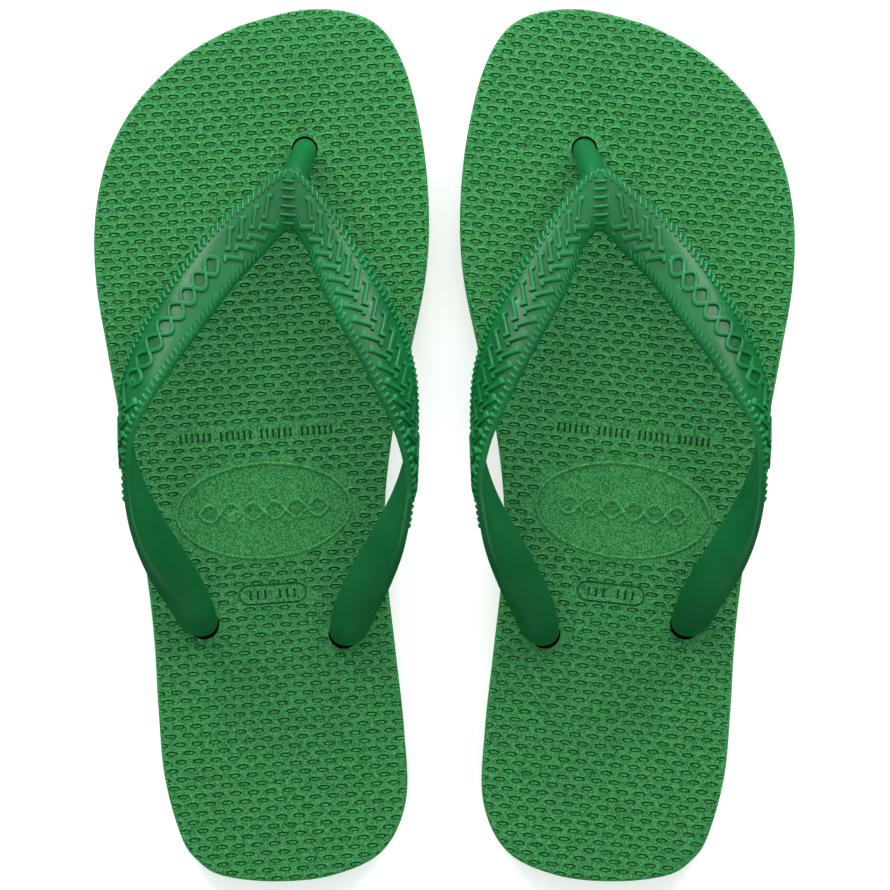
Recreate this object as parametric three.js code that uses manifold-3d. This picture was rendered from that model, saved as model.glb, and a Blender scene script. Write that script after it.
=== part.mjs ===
// A pair of moulded rubber flip flops lying side by side.
// Millimetres, +Z up, +Y towards the toes, +X to the right; the pair's midplane is X = 0.
// Each sandal is a flat two-layer sole and one moulded strap, whose three stems pass
// through the sole and end in round plugs sunk in its underside.
import * as THREE from 'three';
import { mergeVertices } from 'three/addons/utils/BufferGeometryUtils.js';
import Module from 'manifold-3d';

// Driving dimensions
const SOLE_THICKNESS = 15;
const FOOTBED_THICKNESS = 4;
const FLEX_LINE_Y = 58;            // the ball of the foot, where the sole bends
const SPLIT_GAP = 0.3;             // between the front and the rear part of each layer
// A hole's place and radius, and the place of the stem that stands in it
const TOE_HOLE = { x: -42, y: 88.8, radius: 4.2, stemX: -42, stemY: 88.6 };
const OUTER_HOLE = { x: -72.2, y: -53.8, radius: 4.8, stemX: -72.4, stemY: -53.3 };
const INNER_HOLE = { x: -30.2, y: -56.6, radius: 4.8, stemX: -30.1, stemY: -56.1 };
const PLUG_RADIUS = 9.8;
const PLUG_BOTTOM = 0.8;
const PLUG_TOP = 3.8;
const RECESS_RADIUS = 10.8;
const RECESS_DEPTH = 4.3;
const OUTLINE_STEPS_PER_POINT = 4;
const STRAP_STEPS_PER_STATION = 3;
const POST_STEPS_PER_STATION = 2;
const TANGENT_STEP = 0.002;        // share of a curve to each side, from which its direction is taken
const CUTTING_BLOCK = 400;         // larger than a sandal in every direction
const SECTION_SIDES = 12;
const ROUND_SIDES = 32;

// Left sole outline, counter-clockwise from the toe's tip: x, y
const SOLE_OUTLINE = [
  [-38.5, 131], [-56.9, 127.4], [-69.8, 122], [-81.5, 114.2], [-93.4, 101.5], [-101.3, 86],
  [-104.9, 68], [-104.6, 49], [-101.4, 29.5], [-97.2, 7], [-92.8, -17], [-89, -41.5],
  [-87, -60], [-85.8, -80], [-83.9, -100], [-79, -117.5], [-74.3, -124.5], [-66.8, -129.2],
  [-51, -131], [-33.8, -129.2], [-18.8, -122], [-11.6, -107], [-12.1, -86], [-14.7, -62],
  [-17.1, -40], [-17.9, -18], [-15.2, 6], [-9.9, 29.5], [-5.6, 51], [-4.7, 71],
  [-6.9, 93.5], [-12.6, 115], [-21.8, 127.4],
];

// Strap of the left sandal. A station is the strap's outer (lower) edge, its inner (upper)
// edge, its thickness and how far its middle bows outwards.
const strap = (outer, inner, thickness, bow) => ({ outer, inner, thickness, bow });
const OUTER_ARM = [
  strap([-68.4, -53.3, 3.6], [-76.4, -53.3, 3.6], 8, 0),
  strap([-68.4, -53.3, 10], [-76.4, -53.3, 10], 8, 0),
  strap([-68.4, -53.3, 16], [-76.4, -53.3, 16.5], 8, 0),
  strap([-68.2, -51.4, 20], [-79.2, -54, 21.5], 8.5, 0),
  strap([-69.6, -46.6, 24], [-82.2, -49.4, 27.5], 8.5, 0),
  strap([-73.6, -38.5, 30], [-87.4, -41, 37], 7, 0.3),
  strap([-80, -28.5, 35.5], [-91.7, -30.5, 46], 5.2, 0.6),
  strap([-86.6, -18, 39.5], [-93.9, -20, 53], 4, 1),
  strap([-91.4, -8, 42], [-94.2, -9.5, 57.5], 3.4, 1.2),
  strap([-94.4, 4, 43.5], [-93, 2.5, 59], 3.2, 1.3),
  strap([-96, 17.5, 44.5], [-87.4, 13.5, 58], 3.2, 1.3),
  strap([-91.4, 32.6, 44], [-79.4, 25.2, 55], 3.2, 1.2),
  strap([-81.6, 49, 42], [-70.4, 37.2, 50.5], 3.2, 1),
  strap([-69.5, 64.7, 38.8], [-61.4, 48.9, 45.5], 3.6, 0.8),
  strap([-57.1, 75.9, 36.6], [-53.5, 57.3, 40.5], 4.2, 0.6),
];
const SEAM = strap([-46.6, 82.8, 35.2], [-46.6, 63.8, 37.8], 4.8, 0.6);
const INNER_ARM = [
  strap([-37.6, 75.8, 36.6], [-41.6, 58.8, 40.5], 4.2, 0.6),
  strap([-29.6, 64.2, 38.8], [-38.5, 50.9, 45.5], 3.6, 0.8),
  strap([-20.5, 50.3, 42], [-34.6, 42.4, 50.5], 3.2, 1),
  strap([-13, 35.9, 44], [-28.2, 31, 55], 3.2, 1.2),
  strap([-8.9, 20.5, 44.5], [-21.2, 18, 58], 3.2, 1.3),
  strap([-9.4, 4.5, 43.5], [-14.2, 3.5, 59], 3.2, 1.3),
  strap([-12.2, -7, 42], [-10.8, -9, 58], 3.4, 1.2),
  strap([-16.2, -17, 39.5], [-11.2, -19.5, 53.5], 4, 1),
  strap([-22.6, -28, 35.5], [-12.8, -31, 46.5], 5.2, 0.6),
  strap([-28.8, -38.5, 30], [-16.4, -42, 37], 7, 0.3),
  strap([-32.8, -47.5, 24], [-20.6, -51, 27.5], 8.5, 0),
  strap([-34.1, -53.6, 20], [-23.6, -57, 21.5], 8.5, 0),
  strap([-34.1, -56.1, 16], [-26.1, -56.1, 16.5], 8, 0),
  strap([-34.1, -56.1, 10], [-26.1, -56.1, 10], 8, 0),
  strap([-34.1, -56.1, 3.6], [-26.1, -56.1, 3.6], 8, 0),
];

// Toe post: a round stem that leans back and grows into the underside of the strap's point
const station = (centre, radius) => ({ centre, radius });
const POST = [
  station([-42, 88.6, 3.6], 3.5),
  station([-42, 88.6, 10], 3.5),
  station([-42, 88.3, 16], 3.5),
  station([-42.7, 86.2, 23], 3.6),
  station([-44.2, 81.6, 29.5], 4.1),
  station([-45.6, 76.6, 34.6], 4.6),
];

const wasm = await Module();
wasm.setup();

const smoothCurve = (points, closed) => new THREE.CatmullRomCurve3(points, closed, 'catmullrom', 0.5);
const vector = ([x, y, z]) => new THREE.Vector3(x, y, z);

// The unit direction in which a point moves as its share t of the way grows
function directionOf(pointAt, t) {
  const ahead = pointAt(Math.min(1, t + TANGENT_STEP));
  return ahead.sub(pointAt(Math.max(0, t - TANGENT_STEP))).normalize();
}

// A closed three.js geometry as a manifold solid
function solidOf(geometry) {
  const bare = geometry.clone();
  bare.deleteAttribute('normal');
  bare.deleteAttribute('uv');
  const merged = mergeVertices(bare, 1e-4);
  const vertProperties = new Float32Array(merged.attributes.position.array);
  const triVerts = new Uint32Array(merged.index.array);
  return new wasm.Manifold(new wasm.Mesh({ numProp: 3, vertProperties, triVerts }));
}

// A manifold solid as a three.js geometry
function geometryOf(solid) {
  const mesh = solid.getMesh();
  const geometry = new THREE.BufferGeometry();
  geometry.setAttribute('position', new THREE.BufferAttribute(mesh.vertProperties, 3));
  geometry.setIndex(new THREE.BufferAttribute(mesh.triVerts, 1));
  return geometry;
}

// The mirror image across X = 0, with its faces turned back outwards
function mirrored(geometry) {
  const copy = geometry.clone().scale(-1, 1, 1);
  const index = copy.index.array;
  for (let i = 0; i < index.length; i += 3) {
    [index[i + 1], index[i + 2]] = [index[i + 2], index[i + 1]];
  }
  return copy;
}

// Joins equal rings of points into one closed skin with flat ends
function loft(rings) {
  const sides = rings[0].length;
  const positions = rings.flat().flatMap((p) => [p.x, p.y, p.z]);
  const faces = [];
  for (let i = 0; i + 1 < rings.length; i += 1) {
    for (let j = 0; j < sides; j += 1) {
      const next = (j + 1) % sides;
      const [a, b, c, d] = [i * sides + j, i * sides + next, (i + 1) * sides + next, (i + 1) * sides + j];
      faces.push(a, b, c, a, c, d);
    }
  }
  const last = (rings.length - 1) * sides;
  for (let j = 1; j + 1 < sides; j += 1) {
    faces.push(0, j + 1, j, last, last + j, last + j + 1);
  }
  const geometry = new THREE.BufferGeometry();
  geometry.setAttribute('position', new THREE.Float32BufferAttribute(positions, 3));
  geometry.setIndex(faces);
  return geometry;
}

function cylinder(x, y, radius, bottom, top) {
  const geometry = new THREE.CylinderGeometry(radius, radius, top - bottom, ROUND_SIDES);
  return solidOf(geometry.rotateX(Math.PI / 2).translate(x, y, (bottom + top) / 2));
}

// One layer of the sole, between two heights
function layer(bottom, top) {
  const points = SOLE_OUTLINE.map(([x, y]) => new THREE.Vector3(x, y, 0));
  const steps = points.length * OUTLINE_STEPS_PER_POINT;
  const outline = smoothCurve(points, true).getPoints(steps).slice(0, -1);
  const shape = new THREE.Shape(outline.map((p) => new THREE.Vector2(p.x, p.y)));
  const slab = new THREE.ExtrudeGeometry(shape, { depth: top - bottom, bevelEnabled: false });
  return solidOf(slab.translate(0, 0, bottom));
}

// The layer with its three strap holes, and the plugs' recesses where it is the lower one
function piercedLayer(bottom, top) {
  let solid = layer(bottom, top);
  for (const hole of [TOE_HOLE, OUTER_HOLE, INNER_HOLE]) {
    solid = solid.subtract(cylinder(hole.x, hole.y, hole.radius, bottom - 1, top + 1));
    if (bottom < PLUG_TOP) {
      solid = solid.subtract(cylinder(hole.x, hole.y, RECESS_RADIUS, bottom - 1, RECESS_DEPTH));
    }
  }
  return solid;
}

// The part of a layer in front of the flex line, or the part behind it
function partOfLayer(solid, isFront) {
  const side = isFront ? 1 : -1;
  const block = new THREE.BoxGeometry(CUTTING_BLOCK, CUTTING_BLOCK, CUTTING_BLOCK);
  block.translate(0, FLEX_LINE_Y + side * (SPLIT_GAP + CUTTING_BLOCK) / 2, 0);
  return geometryOf(solid.intersect(solidOf(block)));
}

// The strap from the outer plug's stem, over its point, to the inner plug's stem
function strapArms() {
  const stations = [...OUTER_ARM, SEAM, ...INNER_ARM];
  const outer = smoothCurve(stations.map((s) => vector(s.outer)), false);
  const inner = smoothCurve(stations.map((s) => vector(s.inner)), false);
  const sizes = smoothCurve(stations.map((s) => new THREE.Vector3(s.thickness, s.bow, 0)), false);
  const steps = (stations.length - 1) * STRAP_STEPS_PER_STATION;
  const middle = (t) => outer.getPoint(t).add(inner.getPoint(t)).multiplyScalar(0.5);
  const rings = [];
  for (let i = 0; i <= steps; i += 1) {
    const t = i / steps;
    const centre = middle(t);
    const across = outer.getPoint(t).sub(inner.getPoint(t)).multiplyScalar(0.5);
    const outwards = directionOf(middle, t).cross(across).normalize();
    const { x: thickness, y: bow } = sizes.getPoint(t);
    rings.push(strapSection(centre, across, outwards, thickness / 2, bow));
  }
  return solidOf(loft(rings));
}

// A rounded strip whose middle bows outwards, which turns into a circle as it gets as thick as wide
function strapSection(centre, across, outwards, halfThickness, bow) {
  const roundness = 0.5 + 0.5 * Math.min(1, halfThickness / across.length());
  const ring = [];
  for (let j = 0; j < SECTION_SIDES; j += 1) {
    const angle = ((j + 0.5) / SECTION_SIDES) * 2 * Math.PI;
    const u = Math.sign(Math.cos(angle)) * Math.abs(Math.cos(angle)) ** roundness;
    const v = Math.sign(Math.sin(angle)) * Math.abs(Math.sin(angle)) ** roundness;
    const lift = v * halfThickness + bow * (1 - u * u);
    ring.push(centre.clone().addScaledVector(across, u).addScaledVector(outwards, lift));
  }
  return ring;
}

// A round stem whose rings stand square to its own line
function toePost() {
  const centres = smoothCurve(POST.map((s) => vector(s.centre)), false);
  const radii = smoothCurve(POST.map((s) => new THREE.Vector3(s.radius, 0, 0)), false);
  const steps = (POST.length - 1) * POST_STEPS_PER_STATION;
  const rings = [];
  for (let i = 0; i <= steps; i += 1) {
    const t = i / steps;
    const along = directionOf((share) => centres.getPoint(share), t);
    const forwards = along.clone().cross(new THREE.Vector3(1, 0, 0)).normalize();
    const sideways = forwards.clone().cross(along);
    const radius = radii.getPoint(t).x;
    const ring = [];
    for (let j = 0; j < SECTION_SIDES; j += 1) {
      const angle = (j / SECTION_SIDES) * 2 * Math.PI;
      const point = centres.getPoint(t).addScaledVector(sideways, Math.cos(angle) * radius);
      ring.push(point.addScaledVector(forwards, Math.sin(angle) * radius));
    }
    rings.push(ring);
  }
  return solidOf(loft(rings));
}

// One moulded piece: arms, toe post and three round plugs
function strapGeometry() {
  let solid = strapArms().add(toePost());
  for (const hole of [TOE_HOLE, OUTER_HOLE, INNER_HOLE]) {
    solid = solid.add(cylinder(hole.stemX, hole.stemY, PLUG_RADIUS, PLUG_BOTTOM, PLUG_TOP));
  }
  return geometryOf(solid);
}

function sandalGeometries() {
  const footbed = piercedLayer(SOLE_THICKNESS - FOOTBED_THICKNESS, SOLE_THICKNESS);
  const outsole = piercedLayer(0, SOLE_THICKNESS - FOOTBED_THICKNESS);
  return {
    footbed_front: partOfLayer(footbed, true),
    footbed_rear: partOfLayer(footbed, false),
    outsole_front: partOfLayer(outsole, true),
    outsole_rear: partOfLayer(outsole, false),
    strap: strapGeometry(),
  };
}

const COLOURS = {
  footbed_front: 0x2f8f4c,
  footbed_rear: 0x2a8546,
  outsole_front: 0x24783d,
  outsole_rear: 0x206e38,
  strap: 0x2a8a52,
};

const pair = new THREE.Group();
for (const [name, geometry] of Object.entries(sandalGeometries())) {
  for (const side of ['left', 'right']) {
    const roughness = name === 'strap' ? 0.45 : 0.8;
    const material = new THREE.MeshStandardMaterial({ color: COLOURS[name], roughness, metalness: 0 });
    const mesh = new THREE.Mesh(side === 'left' ? geometry : mirrored(geometry), material);
    mesh.name = `${side}_${name}`;
    pair.add(mesh);
  }
}

export default pair;
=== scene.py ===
# %% [markdown]
# # A pair of moulded rubber flip flops
# The real pair has six pieces: for each foot a textured footbed, an outsole bonded under it, and one soft
# strap whose three stems go through the sole and end in round plugs. The design's solids give their places
# and sizes, and this lesson makes the surfaces that a hand would feel: the grain under the foot, the ribs on
# the strap and the tread. All shapes are worked out for the left foot, in millimetres, and the right foot is
# the mirror image.

# %% Load the frame
import math

import bmesh
import bpy
import numpy as np
from mathutils import Matrix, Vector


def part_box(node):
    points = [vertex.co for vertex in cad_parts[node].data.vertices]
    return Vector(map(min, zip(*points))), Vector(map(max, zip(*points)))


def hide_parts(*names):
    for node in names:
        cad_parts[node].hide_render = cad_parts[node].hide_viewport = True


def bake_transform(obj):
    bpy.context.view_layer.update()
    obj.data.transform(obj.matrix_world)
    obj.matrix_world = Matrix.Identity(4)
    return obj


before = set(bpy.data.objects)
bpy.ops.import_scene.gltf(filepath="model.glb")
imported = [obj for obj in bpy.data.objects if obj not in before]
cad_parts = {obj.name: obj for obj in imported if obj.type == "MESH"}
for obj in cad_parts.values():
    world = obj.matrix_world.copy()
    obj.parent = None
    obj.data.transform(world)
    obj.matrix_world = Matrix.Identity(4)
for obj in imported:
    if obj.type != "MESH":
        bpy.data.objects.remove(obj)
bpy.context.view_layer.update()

METRES = 0.001
FEET = {"left": 1, "right": -1}
_, sole_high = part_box("left_outsole_rear")
_, bed_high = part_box("left_footbed_rear")
OUTSOLE_TOP = sole_high.z / METRES
SOLE_TOP = bed_high.z / METRES

# %% [markdown]
# ## Camera, light and floor
# The pair is looked at from straight above. A long lens far away keeps upright walls from showing. Most of
# the light comes from the toe side, so every raised edge gets a bright front and a dark back. The two small
# side lights are mirrored in the widest parts of the strap, and the heel-side one along its stems.

# %% Camera
PICTURE_WIDTH = 0.2671
CAMERA_HEIGHT = 5.0
CAMERA_SHIFT = 0.00015
SENSOR = 36.0


def make_camera():
    """A camera above the pair whose lens = sensor x distance / width shows PICTURE_WIDTH at the footbed."""
    data = bpy.data.cameras.new("overhead_camera")
    data.sensor_width = SENSOR
    data.lens = SENSOR * (CAMERA_HEIGHT - SOLE_TOP * METRES) / PICTURE_WIDTH
    data.clip_end = 20
    camera = bpy.data.objects.new("overhead_camera", data)
    camera.location = (CAMERA_SHIFT, 0, CAMERA_HEIGHT)
    bpy.context.scene.collection.objects.link(camera)
    return camera


bpy.context.scene.camera = make_camera()
bpy.context.scene.view_settings.view_transform = "Standard"
print("lens", round(bpy.context.scene.camera.data.lens), "mm")

# %% Lights
def soft_light(name, place, aim, size, power):
    """A flat rectangular lamp at place whose face looks at aim. The power is in watts."""
    data = bpy.data.lights.new(name, "AREA")
    data.shape = "RECTANGLE"
    data.size, data.size_y = size
    data.energy = power
    lamp = bpy.data.objects.new(name, data)
    lamp.location = place
    direction = np.array(aim) - np.array(place)
    lamp.rotation_euler = Matrix(look_along(direction)).to_euler()
    bpy.context.scene.collection.objects.link(lamp)
    return lamp


def look_along(direction):
    """Rotation whose -Z points along direction: Z is its opposite, X lies level, Y completes them."""
    z = -direction / np.linalg.norm(direction)
    x = np.cross((0.0, 1.0, 0.0) if abs(z[1]) < 0.9 else (0.0, 0.0, 1.0), z)
    x /= np.linalg.norm(x)
    return np.column_stack([x, np.cross(z, x), z]).tolist()


soft_light("high_toe_side_softbox", (0, 0.5, 0.68), (0, 0.02, 0), (1.2, 0.75), 6.5)
soft_light("low_toe_side_strip", (0, 0.8, 0.13), (0, 0.02, 0), (0.8, 0.2), 5.0)
soft_light("left_softbox", (-0.52, 0.67, 0.37), (0, 0.02, 0), (0.26, 0.2), 3.4)
soft_light("right_softbox", (0.52, 0.67, 0.37), (0, 0.02, 0), (0.26, 0.2), 3.4)
soft_light("heel_side_softbox", (0.05, -0.7, 0.5), (0, -0.05, 0), (0.6, 0.2), 2.0)

# %% Surround and floor
SURROUND = [(0.0, 0.03), (0.3, 0.08), (0.5, 0.55), (0.8, 0.55), (0.95, 0.3)]


def grey_room():
    """A dim room, darker overhead and at the floor: its strength depends only on how far up it is, from 0
    level to 1 overhead. The dark overhead, where the camera is, keeps level rubber from looking milky."""
    world = bpy.data.worlds.new("grey_room")
    world.use_nodes = True
    tree = world.node_tree
    direction = tree.nodes.new("ShaderNodeTexCoord")
    split = tree.nodes.new("ShaderNodeSeparateXYZ")
    tree.links.new(direction.outputs["Generated"], split.inputs["Vector"])
    levels = tree.nodes.new("ShaderNodeValToRGB")
    elements = levels.color_ramp.elements
    while len(elements) < len(SURROUND):
        elements.new(0.5)
    for element, (height, strength) in zip(elements, SURROUND):
        element.position = height
        element.color = (strength, strength, strength, 1)
    tree.links.new(split.outputs["Z"], levels.inputs["Fac"])
    tree.links.new(levels.outputs["Color"], tree.nodes["Background"].inputs["Color"])
    bpy.context.scene.world = world


FLOOR_GLOW = 0.35
FLOOR_GAP = 0.0002


def pale_floor(half_width):
    """A white floor that glows a little, as a light table does, so that shadows on it stay faint. It lies a
    hair below the soles, so that no two faces share a plane, and the rubber doesn't mirror it."""
    corners = np.array([[-1, -1, 0], [1, -1, 0], [1, 1, 0], [-1, 1, 0]]) * half_width
    mesh = bpy.data.meshes.new("pale_floor")
    mesh.from_pydata(corners.tolist(), [], [[0, 1, 2, 3]])
    floor = bpy.data.objects.new("pale_floor", mesh)
    floor.location.z = -FLOOR_GAP
    bpy.context.scene.collection.objects.link(floor)
    material = bpy.data.materials.new("pale_floor")
    material.use_nodes = True
    shader = material.node_tree.nodes["Principled BSDF"]
    shader.inputs["Base Color"].default_value = (0.94, 0.94, 0.94, 1)
    shader.inputs["Roughness"].default_value = 0.9
    shader.inputs["Emission Color"].default_value = (1, 1, 1, 1)
    shader.inputs["Emission Strength"].default_value = FLOOR_GLOW
    mesh.materials.append(material)
    floor.visible_glossy = False


grey_room()
pale_floor(half_width=3.0)

# %% [markdown]
# ## Curves and meshes
# Every outline and every edge of the strap is a short list of places joined by a Catmull-Rom curve, because
# that curve passes through each place, so the list can be read as sizes. A mesh is a grid of places whose
# neighbours are joined by four-sided faces.

# %% Helpers for curves
def curve_at(places, t, closed=False):
    """Places on the Catmull-Rom curve through P at t = 0, 1, 2...: between P1 and P2, with P0 and P3 beside
    them, it is (2 P1 + (P2 - P0) t + (2 P0 - 5 P1 + 4 P2 - P3) t2 + (3 P1 - P0 - 3 P2 + P3) t3) / 2."""
    p = np.asarray(places, float)
    t = np.asarray(t, float)
    if closed:
        i = np.floor(t).astype(int)
        p0, p1, p2, p3 = (p[(i + k) % len(p)] for k in (-1, 0, 1, 2))
    else:
        p = np.vstack([2 * p[:1] - p[1:2], p, 2 * p[-1:] - p[-2:-1]])
        i = np.clip(np.floor(t).astype(int), 0, len(p) - 4)
        p0, p1, p2, p3 = (p[i + k] for k in (0, 1, 2, 3))
    f = (t - i)[:, None]
    return (2 * p1 + (p2 - p0) * f + (2 * p0 - 5 * p1 + 4 * p2 - p3) * f**2
            + (3 * p1 - p0 - 3 * p2 + p3) * f**3) / 2


def unit(vectors):
    """Each vector divided by its own length."""
    return vectors / np.linalg.norm(vectors, axis=-1, keepdims=True)


# %% Helpers for meshes
def grid_faces(rows, columns, close_rows=False, close_columns=False):
    """Four-sided faces between neighbours of a grid of points numbered row by row."""
    i = np.arange(rows if close_rows else rows - 1)[:, None]
    j = np.arange(columns if close_columns else columns - 1)[None, :]
    i_next, j_next = (i + 1) % rows, (j + 1) % columns
    corners = (i * columns + j, i * columns + j_next, i_next * columns + j_next, i_next * columns + j)
    return np.stack(corners, -1).reshape(-1, 4).tolist()


def tube_faces(rings, sides):
    """A tube of rings, with one many-sided face on each end."""
    last = (rings - 1) * sides
    ends = [list(range(sides)), list(range(last, last + sides))]
    return grid_faces(rings, sides, close_columns=True) + ends


def repeated_faces(faces, points_each, copies):
    """The same faces for many copies of a shape whose points follow each other."""
    return [[corner + copy * points_each for corner in face] for copy in range(copies) for face in faces]


def add_solid(name, points, faces):
    """A closed mesh object in millimetres, with its faces turned outwards."""
    mesh = bpy.data.meshes.new(name)
    mesh.from_pydata(np.asarray(points).reshape(-1, 3).tolist(), [], faces)
    shape = bmesh.new()
    shape.from_mesh(mesh)
    bmesh.ops.recalc_face_normals(shape, faces=shape.faces)
    shape.to_mesh(mesh)
    shape.free()
    solid = bpy.data.objects.new(name, mesh)
    bpy.context.scene.collection.objects.link(solid)
    return solid


def combine(base, tool, operation):
    """UNION adds tool to base, DIFFERENCE cuts it out and INTERSECT keeps what both hold. The tool is used
    up."""
    cut = base.modifiers.new(operation, "BOOLEAN")
    cut.solver = "MANIFOLD"
    cut.operation = operation
    cut.object = tool
    result = bpy.data.meshes.new_from_object(base.evaluated_get(bpy.context.evaluated_depsgraph_get()))
    base.modifiers.clear()
    old = base.data
    base.data = result
    bpy.data.meshes.remove(old)
    bpy.data.objects.remove(tool)
    if not len(result.polygons):
        raise RuntimeError(f"{operation} left nothing of {base.name}")
    return base


def finish_piece(piece, foot, sharp_degrees):
    """Mirrors the right foot's piece, turns millimetres into metres and shades it smoothly but for sharp
    edges."""
    piece.data.transform(Matrix.Diagonal((FEET[foot] * METRES, METRES, METRES, 1)))
    if FEET[foot] < 0:
        piece.data.flip_normals()
    piece.data.shade_smooth()
    piece.data.set_sharp_from_angle(angle=math.radians(sharp_degrees))
    piece.data.calc_loop_triangles()
    print(piece.name, len(piece.data.loop_triangles), "triangles")
    return piece


# %% [markdown]
# ## The outline of the sole
# The sole is cut from one outline. Moving the outline inwards along its own normal gives the rounded
# shoulders at the top and the bottom.

# %% Outline
SOLE_OUTLINE = [
    (-38.5, 131), (-56.9, 127.4), (-69.8, 122), (-81.5, 114.2), (-93.4, 101.5), (-101.3, 86),
    (-104.9, 68), (-104.6, 49), (-101.4, 29.5), (-97.2, 7), (-92.8, -17), (-89, -41.5), (-87, -60),
    (-85.8, -80), (-83.9, -100), (-79, -117.5), (-74.3, -124.5), (-66.8, -129.2), (-51, -131),
    (-33.8, -129.2), (-18.8, -122), (-11.6, -107), (-12.1, -86), (-14.7, -62), (-17.1, -40),
    (-17.9, -18), (-15.2, 6), (-9.9, 29.5), (-5.6, 51), (-4.7, 71), (-6.9, 93.5), (-12.6, 115),
    (-21.8, 127.4),
]
OUTLINE_STEPS = 8


def sole_outline(inset=0.0):
    """The outline moved inwards by inset: each place less inset times its outward normal."""
    t = np.arange(len(SOLE_OUTLINE) * OUTLINE_STEPS) / OUTLINE_STEPS
    ahead, behind = (curve_at(SOLE_OUTLINE, t + step, closed=True) for step in (0.02, -0.02))
    tangent = unit(ahead - behind)
    outward = np.column_stack([tangent[:, 1], -tangent[:, 0]])
    return curve_at(SOLE_OUTLINE, t, closed=True) - inset * outward


def sole_prism(name, levels):
    """The outline carried up through levels of (height, inset)."""
    rings = [np.column_stack([sole_outline(inset), np.full(len(SOLE_OUTLINE) * OUTLINE_STEPS, height)])
             for height, inset in levels]
    return add_solid(name, np.vstack(rings), tube_faces(len(levels), len(rings[0])))


def inside_outline(x, y, margin=0.0):
    """Whether places lie inside the outline: a level ray from each crosses it an odd number of times."""
    ring = sole_outline(-margin)
    nxt = np.roll(ring, -1, axis=0)
    crosses = (ring[:, 1] > y[:, None]) != (nxt[:, 1] > y[:, None])
    slope = (nxt[:, 0] - ring[:, 0]) / (nxt[:, 1] - ring[:, 1] + 1e-12)
    at = ring[:, 0] + slope * (y[:, None] - ring[:, 1])
    return (crosses & (at > x[:, None])).sum(1) % 2 == 1


def post_hole(x, y, radius, low, high, sides=48):
    """An upright round cutter."""
    angle = np.arange(sides) * 2 * np.pi / sides
    circle = np.column_stack([x + radius * np.cos(angle), y + radius * np.sin(angle)])
    rings = [np.column_stack([circle, np.full(sides, z)]) for z in (low, high)]
    return add_solid("post_hole", np.vstack(rings), tube_faces(2, sides))


HOLES = [(-42, 88.75, 3.95), (-72.2, -53.8, 4.6), (-30.2, -56.6, 4.6)]
OVERREACH = 5.0
print("outline", np.ptp(sole_outline(), axis=0).round(1), "mm")

# %% [markdown]
# ## Footbed grain
# The mould of a footbed has a grain like rice: small ovals in brick-like rows, each a low island in a narrow
# groove, with a lip that stands up on the toe side. Bumps in a material would vanish in a mould or a print,
# so the grain is real. One brick-shaped cell with an oval in it is laid out hundreds of times by a smooth map
# that widens the rows towards the heel and turns them a little; as neighbouring cells share their corner
# places, the cells join.

# %% Lattice
GRAIN_PITCH = 5.0
ROW_PITCH = 2.48
HEEL_GROWTH = 0.065
SOLE_LENGTH = 262.0
GRAIN_TILT = {"left": math.radians(4.0), "right": math.radians(6.2)}
SANDAL_MIDDLE = -54.0
GRAIN_RINGS = [  # half length, half width, shift to the toe, height on the heel side and on the toe side
    (2.15, 1.02, 0.14, 0.0, 0.0),
    (1.82, 0.72, 0.10, 0.02, 0.38),
    (1.46, 0.53, 0.0, -0.55, -0.55),
    (1.15, 0.34, 0.0, 0.05, 0.05),
]
RING_SIDES = 10


def turned(x, y, tilt):
    """Places given from the sandal's middle, turned with the grain."""
    c, s = math.cos(tilt), math.sin(tilt)
    return np.stack([SANDAL_MIDDLE + c * x - s * y, s * x + c * y], -1)


def lattice(u, v, tilt):
    """Place of cell (u, v): row v lies at share q = (exp(g k v) - 1) / g of the length from the toe, where
    the cells are 1 + g q times as large, and the whole is turned by tilt."""
    q = (np.exp(HEEL_GROWTH * ROW_PITCH / SOLE_LENGTH * v) - 1) / HEEL_GROWTH
    return turned(u * GRAIN_PITCH * (1 + HEEL_GROWTH * q), SOLE_LENGTH * (0.5 - q), tilt)


# %% One cell
def bridge(outer, inner, outer_angle, inner_angle):
    """Three-sided faces between two loops sorted by angle, stepping along the loop that is behind."""
    faces, i, j = [], 0, 0
    while i < len(outer) or j < len(inner):
        step_outer = j == len(inner) or (i < len(outer) and outer_angle[i] <= inner_angle[j])
        a, b = outer[i % len(outer)], inner[j % len(inner)]
        if step_outer:
            faces.append([a, outer[(i + 1) % len(outer)], b])
            i += 1
        else:
            faces.append([a, inner[(j + 1) % len(inner)], b])
            j += 1
    return faces


CELL_CORNERS = np.array([(0.5, 0.5), (0, 0.5), (-0.5, 0.5), (-0.5, -0.5), (0, -0.5), (0.5, -0.5)])


def grain_cell():
    """Corner places and oval rings of one cell in lattice units, their heights in mm, and the faces between
    them. A ring is (a cos angle, b sin angle - shift). As v grows towards the heel, a ring's height goes
    from its toe value to its heel value as (1 + sin angle) / 2."""
    angle = (np.arange(RING_SIDES) + 0.5) * 2 * np.pi / RING_SIDES
    rings = [np.column_stack([a * np.cos(angle) / GRAIN_PITCH, (b * np.sin(angle) - shift) / ROW_PITCH])
             for a, b, shift, _, _ in GRAIN_RINGS]
    heel_share = (1 + np.sin(angle)) / 2
    ring_heights = [toe + (heel - toe) * heel_share for *_, heel, toe in GRAIN_RINGS]
    heights = np.concatenate([np.zeros(len(CELL_CORNERS))] + ring_heights)
    places = np.vstack([CELL_CORNERS] + rings)
    corner_angle = np.arctan2(CELL_CORNERS[:, 1], CELL_CORNERS[:, 0]) % (2 * np.pi)
    corner_numbers = list(range(len(CELL_CORNERS)))
    first = len(CELL_CORNERS)
    ring_numbers = list(range(first, first + RING_SIDES))
    faces = bridge(corner_numbers, ring_numbers, corner_angle, angle)
    walls = np.array(grid_faces(len(rings), RING_SIDES, close_columns=True)) + first
    top = list(range(first + (len(rings) - 1) * RING_SIDES, len(places)))
    return places, heights, faces + walls.tolist() + [top]


print("one grain has", len(grain_cell()[2]), "faces")

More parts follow.
